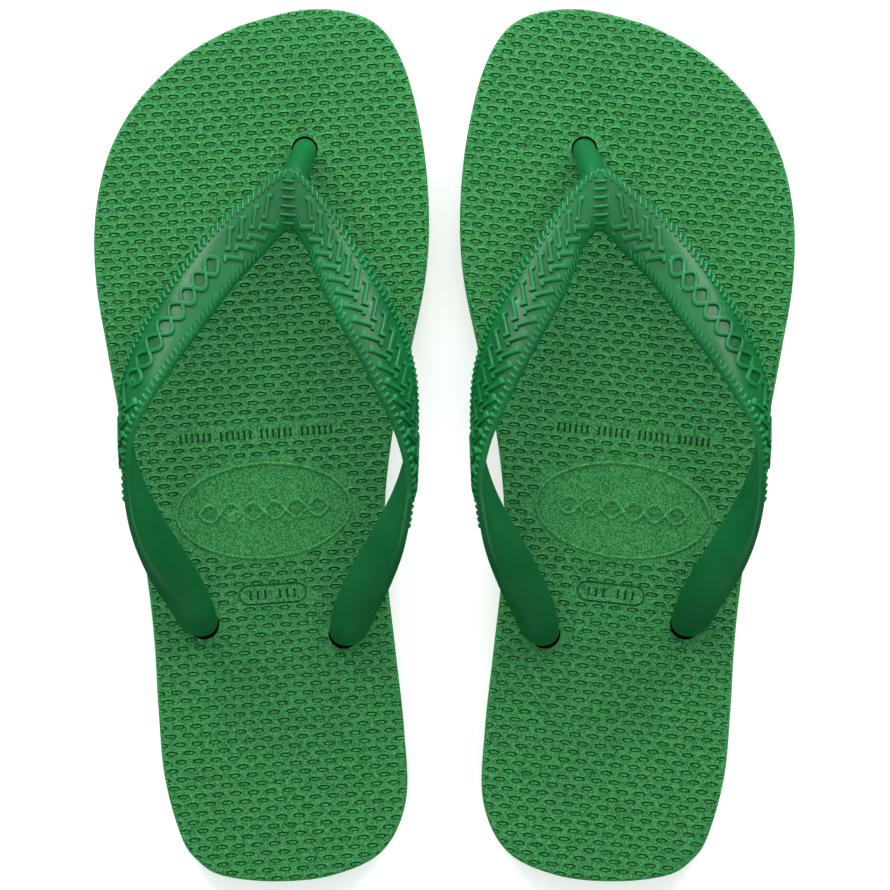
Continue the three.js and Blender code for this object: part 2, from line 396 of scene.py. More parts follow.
# %% The whole slab of cells
EMBLEM = {"x": -1.6, "y": -19.6, "half_length": 26.6, "half_width": 14.6}
SIZE_MARKS = {"x": -2.4, "y": 3.4, "half_length": 22.6, "half_width": 2.9}
LABEL = {"x": -0.7, "y": -44.8, "half_length": 10.0, "half_width": 2.8}
COLUMNS = np.arange(-13, 14)
ROWS = np.arange(-6, 112)
CLEAR_OF_EMBLEM = (1.6, 1.0)
CLEAR_OF_ROWS = (1.4, 0.5)
CLEAR_OF_HOLE = 1.2
PAST_OUTLINE = 1.5
SLAB_BOTTOM = OUTSOLE_TOP - 3


def bare_places(u, v):
    """True where the footbed carries a mark and so has no grain. Distances are taken in the grain's own
    axes, and some clear rubber is kept around each mark."""
    flat = lattice(u, v, 0.0)
    x, y = flat[:, 0] - SANDAL_MIDDLE, flat[:, 1]
    clear_x, clear_y = CLEAR_OF_EMBLEM
    bare = ((x - EMBLEM["x"]) / (EMBLEM["half_length"] + clear_x)) ** 2 \
        + ((y - EMBLEM["y"]) / (EMBLEM["half_width"] + clear_y)) ** 2 < 1
    clear_x, clear_y = CLEAR_OF_ROWS
    for mark in (SIZE_MARKS, LABEL):
        beside = abs(x - mark["x"]) < mark["half_length"] + clear_x
        bare |= beside & (abs(y - mark["y"]) < mark["half_width"] + clear_y)
    return bare


def grain_slab(name, tilt):
    """Every cell of the lattice as one skin, closed below."""
    u, v = (a.ravel().astype(float) for a in np.meshgrid(COLUMNS, ROWS))
    u = u + 0.5 * (v % 2)
    middle = lattice(u, v, tilt)
    grained = inside_outline(middle[:, 0], middle[:, 1], margin=PAST_OUTLINE) & ~bare_places(u, v)
    for hole_x, hole_y, radius in HOLES:
        grained &= np.hypot(middle[:, 0] - hole_x, middle[:, 1] - hole_y) > radius + CLEAR_OF_HOLE
    places, heights, faces = grain_cell()
    with_grain = lattice(u[grained, None] + places[:, 0], v[grained, None] + places[:, 1], tilt)
    plain = lattice(u[~grained, None] + CELL_CORNERS[:, 0], v[~grained, None] + CELL_CORNERS[:, 1], tilt)
    points = np.vstack([with_grain.reshape(-1, 2), plain.reshape(-1, 2)])
    height = np.concatenate([np.tile(heights, grained.sum()), np.zeros(len(plain) * len(CELL_CORNERS))])
    points = np.column_stack([points, SOLE_TOP + height]).round(5)
    plain_faces = np.arange(len(plain) * len(CELL_CORNERS)).reshape(-1, len(CELL_CORNERS))
    plain_faces = (plain_faces + len(with_grain) * len(places)).tolist()
    points, shared = np.unique(points, axis=0, return_inverse=True)
    shared = shared.ravel()
    all_faces = repeated_faces(faces, len(places), len(with_grain)) + plain_faces
    print(name, "grains", len(with_grain))
    return close_below(add_skin(name, points, [shared[face].tolist() for face in all_faces]), SLAB_BOTTOM)


def add_skin(name, points, faces):
    """An open mesh object in millimetres."""
    mesh = bpy.data.meshes.new(name)
    mesh.from_pydata(points.tolist(), [], faces)
    skin = bpy.data.objects.new(name, mesh)
    bpy.context.scene.collection.objects.link(skin)
    return skin


def close_below(skin, bottom):
    """Walls straight down from the skin's rim, and a floor, so that the skin is a solid."""
    shape = bmesh.new()
    shape.from_mesh(skin.data)
    rim = [edge for edge in shape.edges if edge.is_boundary]
    made = bmesh.ops.extrude_edge_only(shape, edges=rim)["geom"]
    for vertex in (part for part in made if isinstance(part, bmesh.types.BMVert)):
        vertex.co.z = bottom
    made_edges = [part for part in made if isinstance(part, bmesh.types.BMEdge)]
    bmesh.ops.holes_fill(shape, edges=[edge for edge in made_edges if edge.is_boundary])
    bmesh.ops.recalc_face_normals(shape, faces=shape.faces)
    shape.to_mesh(skin.data)
    shape.free()
    return skin


# %% [markdown]
# ## Marks on the footbed
# Makers mould their marks between the grain: here an oval rim with a plain woven wave in it, and engraved, a
# row of strokes where a size would stand and a small rounded label with bars. They carry no words. Each line
# is a half-round ridge carried along a flat path. It is joined to the footbed, or turned over and cut out.

# %% Ridges
RIDGE_ROOT = -0.8


def ridge(path, width, height, tilt, closed=False):
    """Points and faces of a half-round ridge: each path place plus p times the path's level normal, at the
    heights of the profile, which starts and ends below the surface."""
    path = turned(path[:, 0], path[:, 1], tilt)
    if closed:
        along = np.roll(path, -1, axis=0) - np.roll(path, 1, axis=0)
    else:
        along = np.gradient(path, axis=0)
    normal = unit(np.column_stack([-along[:, 1], along[:, 0]]))
    across = np.array([-0.5, -0.5, -0.3, 0, 0.3, 0.5, 0.5]) * width
    lift = np.array([RIDGE_ROOT, 0, 0.8 * height, height, 0.8 * height, 0, RIDGE_ROOT])
    flat = path[:, None, :] + across[None, :, None] * normal[:, None, :]
    points = np.dstack([flat, np.broadcast_to(SOLE_TOP + lift, flat.shape[:2])])
    if closed:
        return points.reshape(-1, 3), grid_faces(len(path), len(across), close_rows=True, close_columns=True)
    return points.reshape(-1, 3), tube_faces(len(path), len(across))


def add_ridges(name, ridges):
    """One object from several ridges that don't touch each other."""
    faces, first = [], 0
    for points, ridge_faces in ridges:
        faces += [[corner + first for corner in face] for face in ridge_faces]
        first += len(points)
    return add_solid(name, np.vstack([points for points, _ in ridges]), faces)


def oval(mark, inset, places=120):
    """An ellipse along the edge of a mark, moved inwards by inset."""
    angle = np.arange(places) * 2 * np.pi / places
    return np.column_stack([mark["x"] + (mark["half_length"] - inset) * np.cos(angle),
                            mark["y"] + (mark["half_width"] - inset) * np.sin(angle)])


def rounded_label(mark, places=48):
    """A straight-sided oval: a circle whose two halves are pushed apart."""
    angle = (np.arange(places) + 0.5) * 2 * np.pi / places
    radius = mark["half_width"]
    apart = (mark["half_length"] - radius) * np.sign(np.cos(angle))
    return np.column_stack([mark["x"] + apart + radius * np.cos(angle), mark["y"] + radius * np.sin(angle)])


def wave(mark, half_length, swing, waves, phase, places=120):
    """y = swing sin(2 pi waves x / length + phase)."""
    share = np.linspace(-0.5, 0.5, places)
    return np.column_stack([mark["x"] + 2 * half_length * share,
                            mark["y"] + swing * np.sin(2 * np.pi * waves * share + phase)])


def strokes(mark, count, height, gaps=()):
    """Short upright lines in a row, but for the gaps."""
    at = np.linspace(mark["x"] - mark["half_length"], mark["x"] + mark["half_length"], count)
    share = np.linspace(-0.5, 0.5, 3)
    return [np.column_stack([np.full(3, x), mark["y"] + height * share])
            for number, x in enumerate(at) if number not in gaps]


RIM = {"width": 1.1, "height": 0.5}
WOVEN = {"width": 1.2, "height": 0.5}
WOVEN_WAVE = {"half_length": 19.5, "swing": 2.6, "waves": 3}
ENGRAVED = {"width": 0.75, "height": 0.55}
STROKE_LENGTH = 2.6
LABEL_MARGIN = 3.4


def footbed_marks(tilt):
    """Three ridges that are joined one after another, because they cross or lie close."""
    rim = ridge(oval(EMBLEM, inset=0.5), **RIM, tilt=tilt, closed=True)
    waves = [ridge(wave(EMBLEM, **WOVEN_WAVE, phase=phase), **WOVEN, tilt=tilt) for phase in (0, np.pi)]
    return [add_ridges("mark", [line]) for line in (rim, *waves)]


def engravings(tilt):
    """Ridges turned over into cutters: the row of strokes, and the label with its bars."""
    label_bars = {**LABEL, "half_length": LABEL["half_length"] - LABEL_MARGIN}
    paths = strokes(SIZE_MARKS, 27, STROKE_LENGTH, gaps=(6, 13, 20))
    paths += strokes(label_bars, 7, STROKE_LENGTH, gaps=(3,))
    lines = [ridge(path, **ENGRAVED, tilt=tilt) for path in paths]
    lines.append(ridge(rounded_label(LABEL), **ENGRAVED, tilt=tilt, closed=True))
    turn_over, back_up = np.array([1, 1, -1]), np.array([0, 0, 2 * SOLE_TOP])
    return add_ridges("engravings", [(points * turn_over + back_up, faces) for points, faces in lines])


# %% [markdown]
# ## Making the footbed
# The slab of grain, with its marks, is cut by a prism of the sole's outline with a rounded shoulder, and
# the three strap holes go through it. It replaces both halves of the layer in the design, because the real
# rubber is one piece that bends at the ball of the foot. Only places where a mesh has points can bend, so
# its long flat faces are split there.

# %% Footbed
FOOTBED_LEVELS = [  # height and inset
    (OUTSOLE_TOP, 0.15), (OUTSOLE_TOP + 0.25, 0.0), (SOLE_TOP - 0.9, 0.0), (SOLE_TOP - 0.45, 0.12),
    (SOLE_TOP - 0.1, 0.45), (SOLE_TOP + 0.6, 1.5),
]
FLEX_START = 0.040  # metres, as in the frame, and the same goes for the next two
FLEX_END = 0.076
BEND_CUT_STEP = 0.002
LONG_FACE = 3.0  # millimetres


def cut_across_bend(piece):
    """Level lines across the ball of the foot split the long flat faces there, so that they follow the bend
    and don't span it."""
    shape = bmesh.new()
    shape.from_mesh(piece.data)
    for y in np.arange(FLEX_START, FLEX_END, BEND_CUT_STEP) / METRES:
        parts = set()
        for face in shape.faces:
            low = min(vertex.co.y for vertex in face.verts)
            high = max(vertex.co.y for vertex in face.verts)
            if low < y < high and high - low > LONG_FACE:
                parts |= {face, *face.edges, *face.verts}
        bmesh.ops.bisect_plane(shape, geom=list(parts), plane_co=(0, y, 0), plane_no=(0, 1, 0))
    shape.to_mesh(piece.data)
    shape.free()
    return piece


def make_footbed(foot):
    """The grain slab with its marks, cut to the sole's outline and holes."""
    tilt = GRAIN_TILT[foot]
    bed = grain_slab(f"{foot}_footbed", tilt)
    for marks in footbed_marks(tilt):
        combine(bed, marks, "UNION")
    combine(bed, engravings(tilt), "DIFFERENCE")
    combine(bed, sole_prism("cutter", FOOTBED_LEVELS), "INTERSECT")
    for x, y, radius in HOLES:
        combine(bed, post_hole(x, y, radius, OUTSOLE_TOP - OVERREACH, SOLE_TOP + OVERREACH), "DIFFERENCE")
    finish_piece(cut_across_bend(bed), foot, sharp_degrees=50)
    bend_with_sole(bed)
    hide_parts(f"{foot}_footbed_front", f"{foot}_footbed_rear")
    return bed


def bend_with_sole(piece):
    """Bakes the piece's placement into its mesh."""
    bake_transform(piece)


footbeds = {foot: make_footbed(foot) for foot in FEET}

# %% [markdown]
# ## Outsole
# The outsole is a plainer foam, and wavy grooves across its underside give grip. The grooves stop short of
# the edge and keep clear of the plugs, as a mould maker would draw them, so the wavy cutters are first
# trimmed by a smaller outline.

# %% Outsole
OUTSOLE_LEVELS = [(0.0, 1.0), (0.3, 0.4), (0.9, 0.0), (OUTSOLE_TOP - 0.3, 0.0), (OUTSOLE_TOP, 0.25)]
GROOVE_PITCH = 5.4
GROOVE_WIDTH = 1.8
GROOVE_DEPTH = 1.2
GROOVE_SWING = 1.7
GROOVE_WAVELENGTH = 14.0
TREAD_FIELD = [(-3, 6), (5, 6)]  # height, and how far inside the outline the grooves stop
CLEAR_OF_RECESS = 2.5
ABOVE_GROOVES = 6.0
RECESS_RADIUS = 10.8
RECESS_DEPTH = 4.3


def tread_grooves():
    """Wavy bars below the sole: y = row + swing sin(2 pi x / wavelength), with a flat-topped profile."""
    x = np.arange(-112, 3, 1.2)
    rows = np.arange(-129, 130, GROOVE_PITCH)
    swing = GROOVE_SWING * np.sin(2 * np.pi * x / GROOVE_WAVELENGTH)
    across = np.array([-0.62, -0.38, 0.38, 0.62]) * GROOVE_WIDTH
    height = np.array([-2.0, GROOVE_DEPTH, GROOVE_DEPTH, -2.0])
    y = rows[:, None, None] + swing[None, :, None] + across
    points = np.stack([np.broadcast_to(x[None, :, None], y.shape), y, np.broadcast_to(height, y.shape)], -1)
    faces = repeated_faces(tube_faces(len(x), len(across)), len(x) * len(across), len(rows))
    grooves = add_solid("tread_grooves", points, faces)
    combine(grooves, sole_prism("tread_field", TREAD_FIELD), "INTERSECT")
    for hole_x, hole_y, _ in HOLES:
        keep_out = post_hole(hole_x, hole_y, RECESS_RADIUS + CLEAR_OF_RECESS, -OVERREACH, ABOVE_GROOVES)
        combine(grooves, keep_out, "DIFFERENCE")
    return grooves


def make_outsole(foot):
    """The outline's prism with grooves, holes and recesses cut out."""
    sole = sole_prism(f"{foot}_outsole", OUTSOLE_LEVELS)
    combine(sole, tread_grooves(), "DIFFERENCE")
    for x, y, radius in HOLES:
        combine(sole, post_hole(x, y, radius, -OVERREACH, OUTSOLE_TOP + OVERREACH), "DIFFERENCE")
        combine(sole, post_hole(x, y, RECESS_RADIUS, -OVERREACH, RECESS_DEPTH), "DIFFERENCE")
    finish_piece(cut_across_bend(sole), foot, sharp_degrees=30)
    bend_with_sole(sole)
    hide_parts(f"{foot}_outsole_front", f"{foot}_outsole_rear")
    return sole


outsoles = {foot: make_outsole(foot) for foot in FEET}

# %% [markdown]
# ## Strap
# The strap is one soft moulding. Its cross-section is a rounded strip at the point and round where it enters
# the sole, and it twists on the way: it faces up at the point and outwards at the side of the foot. Such a
# form is easiest to give by its two edges. The strip between them is a surface of two parameters, t along
# the strap and an angle around its section.

# %% Strap stations
# Each row: outer edge x, y, z, inner edge x, y, z, thickness, outward bow; from the outer stem, over the
# point, to the inner stem.
STRAP_STATIONS = np.array([
    (-68.4, -53.3, 3.6, -76.4, -53.3, 3.6, 8, 0),
    (-68.4, -53.3, 10, -76.4, -53.3, 10, 8, 0),
    (-68.4, -53.3, 16, -76.4, -53.3, 16.5, 8, 0),
    (-68.2, -51.4, 20, -79.2, -54, 21.5, 8.5, 0),
    (-69.6, -46.6, 24, -82.2, -49.4, 27.5, 8.5, 0),
    (-73.6, -38.5, 30, -87.4, -41, 37, 7, 0.3),
    (-80, -28.5, 35.5, -91.7, -30.5, 46, 5.2, 0.6),
    (-86.6, -18, 39.5, -93.9, -20, 53, 4, 1),
    (-91.4, -8, 42, -94.2, -9.5, 57.5, 3.4, 1.2),
    (-94.4, 4, 43.5, -93, 2.5, 59, 3.2, 1.3),
    (-96, 17.5, 44.5, -87.4, 13.5, 58, 3.2, 1.3),
    (-91.4, 32.6, 44, -79.4, 25.2, 55, 3.2, 1.2),
    (-81.6, 49, 42, -70.4, 37.2, 50.5, 3.2, 1),
    (-69.5, 64.7, 38.8, -61.4, 48.9, 45.5, 3.6, 0.8),
    (-57.1, 75.9, 36.6, -53.5, 57.3, 40.5, 4.2, 0.6),
    (-46.6, 82.8, 35.2, -46.6, 63.8, 37.8, 4.8, 0.6),
    (-37.6, 75.8, 36.6, -41.6, 58.8, 40.5, 4.2, 0.6),
    (-29.6, 64.2, 38.8, -38.5, 50.9, 45.5, 3.6, 0.8),
    (-20.5, 50.3, 42, -34.6, 42.4, 50.5, 3.2, 1),
    (-13, 35.9, 44, -28.2, 31, 55, 3.2, 1.2),
    (-8.9, 20.5, 44.5, -21.2, 18, 58, 3.2, 1.3),
    (-9.4, 4.5, 43.5, -14.2, 3.5, 59, 3.2, 1.3),
    (-12.2, -7, 42, -10.8, -9, 58, 3.4, 1.2),
    (-16.2, -17, 39.5, -11.2, -19.5, 53.5, 4, 1),
    (-22.6, -28, 35.5, -12.8, -31, 46.5, 5.2, 0.6),
    (-28.8, -38.5, 30, -16.4, -42, 37, 7, 0.3),
    (-32.8, -47.5, 24, -20.6, -51, 27.5, 8.5, 0),
    (-34.1, -53.6, 20, -23.6, -57, 21.5, 8.5, 0),
    (-34.1, -56.1, 16, -26.1, -56.1, 16.5, 8, 0),
    (-34.1, -56.1, 10, -26.1, -56.1, 10, 8, 0),
    (-34.1, -56.1, 3.6, -26.1, -56.1, 3.6, 8, 0),
])
SEAM = 15
LAST_STATION = len(STRAP_STATIONS) - 1

# %% Strap surface
def strap_middle(t):
    """Halfway between the strap's two edges."""
    places = curve_at(STRAP_STATIONS, t)
    return (places[:, :3] + places[:, 3:6]) / 2


def strap_frame(t):
    """At places t: the middle, the half width as a vector towards the outer edge, the unit vector out of the
    face, half the thickness, the bow and the roundness (1 is a circle, smaller is a rounded strip)."""
    places = curve_at(STRAP_STATIONS, t)
    across = (places[:, :3] - places[:, 3:6]) / 2
    along = unit(strap_middle(t + 0.03) - strap_middle(t - 0.03))
    outward = unit(np.cross(along, across))
    half_thickness = places[:, 6] / 2
    roundness = 0.5 + 0.5 * np.minimum(1, half_thickness / np.linalg.norm(across, axis=1))
    return strap_middle(t), across, outward, half_thickness, places[:, 7], roundness


def strap_body(rings=421, sides=44):
    """middle + u across + (v thickness / 2 + bow (1 - u2)) outward, where u and v are the cosine and sine
    of the angle around, raised to the roundness with their signs kept."""
    t = np.linspace(0, LAST_STATION, rings)
    middle, across, outward, half_thickness, bow, roundness = (a[:, None] for a in strap_frame(t))
    angle = (np.arange(sides) + 0.5) * 2 * np.pi / sides
    u = np.sign(np.cos(angle)) * abs(np.cos(angle)) ** roundness
    v = np.sign(np.sin(angle)) * abs(np.sin(angle)) ** roundness
    lift = v * half_thickness + bow * (1 - u**2)
    points = middle + u[..., None] * across + lift[..., None] * outward
    return add_solid("strap", points, tube_faces(rings, sides))


def arm_lengths(direction):
    """Distance from the seam along the strap's middle, and the t that goes with it, for one arm."""
    t = SEAM + direction * np.linspace(0, SEAM, 400)
    steps = np.linalg.norm(np.diff(strap_middle(t), axis=0), axis=1)
    return np.concatenate([[0], np.cumsum(steps)]), t


ARMS = {"outer_arm": arm_lengths(-1), "inner_arm": arm_lengths(1)}


def on_strap(arm, length, across_mm, lift):
    """Place on the strap's face at a distance along an arm and across it, lifted off the skin. At share u
    of the half width the skin stands at half_thickness (1 - u^(2/r))^(r/2) + bow (1 - u2)."""
    distances, places = ARMS[arm]
    t = np.interp(length, distances, places).ravel()
    middle, across, outward, half_thickness, bow, roundness = strap_frame(t)
    u = np.clip(across_mm.ravel() / np.linalg.norm(across, axis=1), -0.999, 0.999)
    skin = half_thickness * (1 - abs(u) ** (2 / roundness)) ** (roundness / 2) + bow * (1 - u**2)
    return middle + u[:, None] * across + (skin + lift.ravel())[:, None] * outward


def half_width_at(arm, length):
    """Half the strap's width at a distance from the seam."""
    distances, places = ARMS[arm]
    return np.linalg.norm(strap_frame(np.interp(length, distances, places))[1], axis=1)


print({arm: round(float(table[0][-1])) for arm, table in ARMS.items()}, "mm of strap in each arm")

# %% [markdown]
# ## Ribs on the strap
# The face of the strap carries short raised ribs laid as herringbone, a milled border, a ladder of bars on
# the seam and a woven wave on the outer arm. One rib is drawn once, flat, as a half-round line with rounded
# ends. It is then turned, moved and laid on the strap's face, hundreds at a time, and joined to it.

# %% Rib template
ROOT = -0.5


def rib(stations, profile):
    """A rib's flat points (along, across, lift). Stations are (x, y, normal x, normal y, width, height)
    along its line, and the profile is (share of width, share of height), with both roots below the skin."""
    x, y, nx, ny, width, height = (column[:, None] for column in np.array(stations, float).T)
    share, rise = np.array(profile, float).T
    lift = np.where(rise > 0, rise * height, ROOT * (rise < 0))
    return np.stack([x + share * width * nx, y + share * width * ny, lift], -1)


FLAT_ROUND = [(-1, -1), (-1, 0.2), (-0.75, 0.85), (-0.3, 1), (0.3, 1), (0.75, 0.85), (1, 0.2), (1, -1)]
HALF_ROUND = [(-1, -1), (-1, 0.1), (-0.6, 0.8), (0, 1), (0.6, 0.8), (1, 0.1), (1, -1)]
LOW_ROUND = [(-1, -1), (-0.8, 0.6), (0, 1), (0.8, 0.6), (1, -1)]
RIB_HALF = 1.0


def hooked_rib(hook, width, height):
    """A bar whose two ends turn off to opposite sides by hook (its sign says which way)."""
    half, side, w = RIB_HALF, np.sign(hook), width / 2
    return rib([
        (-half, -hook - side * w, -side, 0, w * 0.5, 0),
        (-half, -hook - side * w * 0.5, -side, 0, w * 0.9, height),
        (-half, 0, -side, 1, w, height),
        (-half * 0.4, 0, 0, 1, w, height),
        (half * 0.4, 0, 0, 1, w, height),
        (half, 0, -side, 1, w, height),
        (half, hook + side * w * 0.5, -side, 0, w * 0.9, height),
        (half, hook + side * w, -side, 0, w * 0.5, 0),
    ], FLAT_ROUND)


def straight_rib(width, height, profile, half=RIB_HALF):
    """A plain bar with rounded ends."""
    w = width / 2
    return rib([(-half - w * 0.6, 0, 0, 1, w * 0.4, 0), (-half, 0, 0, 1, w, height), (0, 0, 0, 1, w, height),
                (half, 0, 0, 1, w, height), (half + w * 0.6, 0, 0, 1, w * 0.4, 0)], profile)


def lay_ribs(arm, template, start, finish):
    """Copies of a flat rib on an arm's face, one for each pair of places (length, across in mm): each copy is
    turned along its pair, and its two halves are pushed apart until its ends stand on the pair."""
    middle, step = (start + finish) / 2, (finish - start) / 2
    half = np.linalg.norm(step, axis=1)
    c, s = (step / half[:, None]).T[:, :, None, None]
    x, y, lift = (template[..., k][None] for k in range(3))
    x = x + np.sign(x) * (half[:, None, None] - RIB_HALF)
    length = middle[:, 0, None, None] + x * c - y * s
    across_mm = middle[:, 1, None, None] + x * s + y * c
    points = on_strap(arm, length, across_mm, np.broadcast_to(lift, length.shape))
    stations, sides = template.shape[:2]
    return points, repeated_faces(tube_faces(stations, sides), stations * sides, len(start))


# %% Rib patterns
RIB_RUNS = {  # distance of the first rib from the seam, pitch and number of ribs
    "inner_arm": [(9.9, 5.22, 18)],
    "outer_arm": [(9.4, 4.95, 4), (80.0, 4.95, 4)],
}
RIB_ROWS = [  # shares of the half width, lean (near the seam, its growth, over what length), shift and hook
    ((0.46, -0.04), (2.2, 2.8, 20, 20), 0.0, 0.95),
    ((-0.64, -0.17), (5.9, -2.3, 10, 40), 2.2, -0.95),
]
RIB_WIDTH = 1.5
RIB_HEIGHT = 0.85


def herringbone(arm, first, pitch, count):
    """Two rows of hooked ribs that lean opposite ways. A row runs between two shares of the half width, and
    its ribs lean along the arm by so many mm: lean = near + growth (distance - start) / length."""
    end = first + pitch * np.arange(count)
    half = half_width_at(arm, end)
    rows = []
    for (start_share, end_share), (near, growth, grows_from, grows_over), shift, hook in RIB_ROWS:
        lean = near + growth * np.clip((end - grows_from) / grows_over, 0, 1)
        start = np.column_stack([end + shift - lean, start_share * half])
        finish = np.column_stack([end + shift, end_share * half])
        rows.append(lay_ribs(arm, hooked_rib(hook, RIB_WIDTH, RIB_HEIGHT), start, finish))
    return rows


MILLING = {  # edge: first tick, pitch, length of a tick and its lean, in mm
    1: (1.2, 1.8, 2.3, 0.9),
    -1: (15.0, 2.1, 1.4, 0.9),
}
MILLED_TO = {"outer_arm": 108.0, "inner_arm": 110.0}
TICK_WIDTH = 1.05
TICK_HEIGHT = 0.65
RIM_MARGIN = 0.5


def milled_border(arm, edge):
    """Slanted ticks along one edge: edge is 1 for the outer edge and -1 for the inner one."""
    first, pitch, reach, lean = MILLING[edge]
    at = np.arange(first, MILLED_TO[arm], pitch)
    half = half_width_at(arm, at)
    rim = edge * (half - RIM_MARGIN)
    inside = rim - edge * reach
    start = np.column_stack([at - edge * lean / 2, rim])
    finish = np.column_stack([at + edge * lean / 2, inside])
    return lay_ribs(arm, straight_rib(TICK_WIDTH, TICK_HEIGHT, LOW_ROUND), start, finish)


SEAM_LADDER = [  # place across the strap and length of a bar
    (5.2, 3.0), (2.8, 3.4), (0.2, 3.6), (-2.5, 4.2), (-5.1, 4.6), (-7.6, 3.3),
]
LADDER_SLOPE = 0.08
BAR_WIDTH = 1.1
BAR_HEIGHT = 0.8


def seam_ladder():
    """Bars that cross the seam: a place on the seam line, plus x along level X."""
    sets = []
    for across_mm, length in SEAM_LADDER:
        bar = straight_rib(BAR_WIDTH, BAR_HEIGHT, HALF_ROUND, half=length / 2)
        x, y, lift = np.moveaxis(bar, -1, 0)
        on_seam = on_strap("inner_arm", np.zeros(x.shape), across_mm + y - LADDER_SLOPE * x, lift)
        level = np.column_stack([x.ravel(), np.zeros(x.size), np.zeros(x.size)])
        sets.append((on_seam + level, tube_faces(*x.shape)))
    return sets


WAVE_FROM, WAVE_TO = 29.0, 75.0
WAVES = 4
WAVE_SWING = 3.1
WAVE_WIDTH = 1.45
WAVE_HEIGHT = 0.8
WAVE_END_SLOPE = 40


def strap_wave(phase, places=90):
    """A ridge along the outer arm: across = swing sin(2 pi waves share + phase). It sinks at both ends."""
    share = np.linspace(0, 1, places)
    length = WAVE_FROM + (WAVE_TO - WAVE_FROM) * share
    across_mm = WAVE_SWING * np.sin(2 * np.pi * WAVES * share + phase)
    slope = np.gradient(across_mm, length)
    normal = unit(np.column_stack([-slope, np.ones(places)]))
    height = WAVE_HEIGHT * np.clip(np.minimum(share, 1 - share) * WAVE_END_SLOPE, 0.05, 1)
    profile = np.array(FLAT_ROUND)
    a = length[:, None] + WAVE_WIDTH / 2 * profile[:, 0] * normal[:, :1]
    b = across_mm[:, None] + WAVE_WIDTH / 2 * profile[:, 0] * normal[:, 1:]
    lift = np.where(profile[:, 1] > 0, profile[:, 1] * height[:, None], ROOT * (profile[:, 1] < 0))
    return on_strap("outer_arm", a, b, lift), tube_faces(places, len(profile))


# %% [markdown]
# ## Post and plugs
# The toe post is a round stem that leans back under the point of the strap. Each stem ends in a plug like a
# mushroom, wider than its hole, which keeps the strap from pulling through. A plug is a profile turned about
# its stem's axis.

# %% Post
POST_STATIONS = np.array([  # x, y, z and radius
    (-42, 88.6, 3.6, 3.5), (-42, 88.6, 10, 3.5), (-42, 88.3, 16, 3.5),
    (-42.7, 86.2, 23, 3.6), (-44.2, 81.6, 29.5, 4.1), (-45.6, 76.6, 34.6, 4.6),
])


def toe_post(sides=40, rings=61):
    """middle + radius (cos level + sin forward), square to the post's own line."""
    t = np.linspace(0, len(POST_STATIONS) - 1, rings)
    places = curve_at(POST_STATIONS, t)
    along = unit(curve_at(POST_STATIONS, t + 0.02)[:, :3] - curve_at(POST_STATIONS, t - 0.02)[:, :3])
    forward = unit(np.cross(along, (1.0, 0.0, 0.0)))
    level = np.cross(forward, along)
    angle = np.arange(sides) * 2 * np.pi / sides
    cosine, sine = (turn[None, :, None] for turn in (np.cos(angle), np.sin(angle)))
    circle = cosine * level[:, None] + sine * forward[:, None]
    points = places[:, None, :3] + places[:, None, 3:] * circle
    return add_solid("toe_post", points, tube_faces(rings, sides))


PLUG_DISH = [(1.0, 1.4), (3.4, 1.2), (4.0, 0.8)]
PLUG_RIM = [(8.6, 0.85), (9.5, 1.25), (9.8, 1.9), (9.8, 2.9), (9.4, 3.5), (8.6, 3.75)]
PLUG_TOP = (1.0, 3.78)


def plug(x, y, sides=48):
    """The profile (radius, height) turned about the stem at (x, y), with a shallow dish in its flat end."""
    angle = np.arange(sides) * 2 * np.pi / sides
    profile = np.array([*PLUG_DISH, *PLUG_RIM, PLUG_TOP])
    radius = profile[:, :1]
    height = np.broadcast_to(profile[:, 1:], (len(profile), sides))
    points = np.dstack([x + radius * np.cos(angle), y + radius * np.sin(angle), height])
    return add_solid("plug", points, tube_faces(len(profile), sides))


# %% Strap assembled
STEMS = [(-42, 88.6), (-72.4, -53.3), (-30.1, -56.1)]


def make_strap(foot):
    """The strap's body with its post and plugs, and then its ridges, in sets whose ridges lie apart."""
    strap = strap_body()
    strap.name = f"{foot}_moulded_strap"
    combine(strap, toe_post(), "UNION")
    for x, y in STEMS:
        combine(strap, plug(x, y), "UNION")
    ribs = [row for arm, runs in RIB_RUNS.items() for run in runs for row in herringbone(arm, *run)]
    borders = [milled_border(arm, edge) for arm in MILLED_TO for edge in MILLING]
    for name, ridges in (("ribs", ribs + seam_ladder()), ("borders", borders),
                         ("wave", [strap_wave(0)]), ("other_wave", [strap_wave(np.pi)])):
        combine(strap, add_ridges(name, ridges), "UNION")
    finish_piece(strap, foot, sharp_degrees=48)
    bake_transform(strap)
    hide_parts(f"{foot}_strap")
    return strap


straps = {foot: make_strap(foot) for foot in FEET}

# %% [markdown]
# ## Rubber
# All pieces are dyed through, so their colour hardly varies; what differs is the skin. The footbed and the
# outsole are foams: matt, with fine pits and a faint mottle. The strap is dense rubber from a polished
# mould: smoother, a little waxy, with soft wide highlights. On both, sharp ridges get a painted highlight
# and narrow grooves a painted shade: their colour is drawn a little lighter and a little darker.

# %% Node helpers
def new_material(name, roughness):
    """A material with its node tree, its shader, and a socket that gives places on the object."""
    material = bpy.data.materials.new(name)
    material.use_nodes = True
    tree = material.node_tree
    shader = tree.nodes["Principled BSDF"]
    shader.inputs["Roughness"].default_value = roughness
    place = tree.nodes.new("ShaderNodeTexCoord")
    return material, tree, shader, place.outputs["Object"]


def noise(tree, place, scale, detail=3.0, roughness=0.5):
    """Noise of so many features per metre, read at Object coordinates."""
    node = tree.nodes.new("ShaderNodeTexNoise")
    node.inputs["Scale"].default_value = scale
    node.inputs["Detail"].default_value = detail
    node.inputs["Roughness"].default_value = roughness
    tree.links.new(place, node.inputs["Vector"])
    return node.outputs["Fac"]


